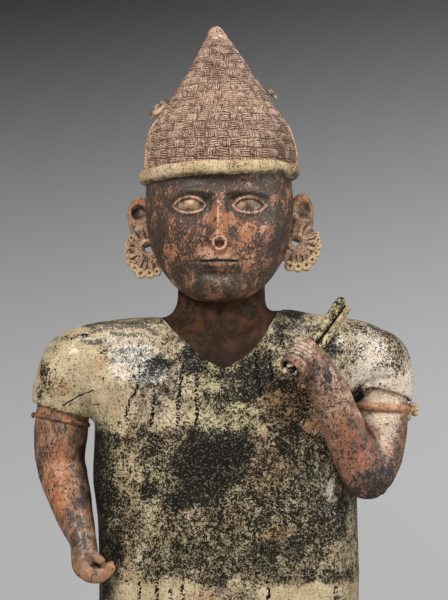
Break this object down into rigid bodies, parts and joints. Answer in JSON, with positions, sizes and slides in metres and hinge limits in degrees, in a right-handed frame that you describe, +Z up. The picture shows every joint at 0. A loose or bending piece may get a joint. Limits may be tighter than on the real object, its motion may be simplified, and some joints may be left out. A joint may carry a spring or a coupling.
{
  "type": "standing ceramic figure",
  "caption": "Standing hollow clay figure in a conical woven cap, ear ornaments and a short-sleeved tunic, one fist raised with sticks, on a low slab.",
  "frame": {"origin": "centre of the slab's flat underside, on the surface that the figure stands on", "axes": "+Z up to the tip of the cap, -Y the way the figure faces, +X to the right of someone who looks at its face"},
  "size_m": [0.3656, 0.1851, 0.719],
  "materials": {
    "clay": "burnished red-brown clay with cream and black slip, worn and speckled"
  },
  "bodies": {
    "root": {"figure": "clay"}
  },
  "joints": []
}
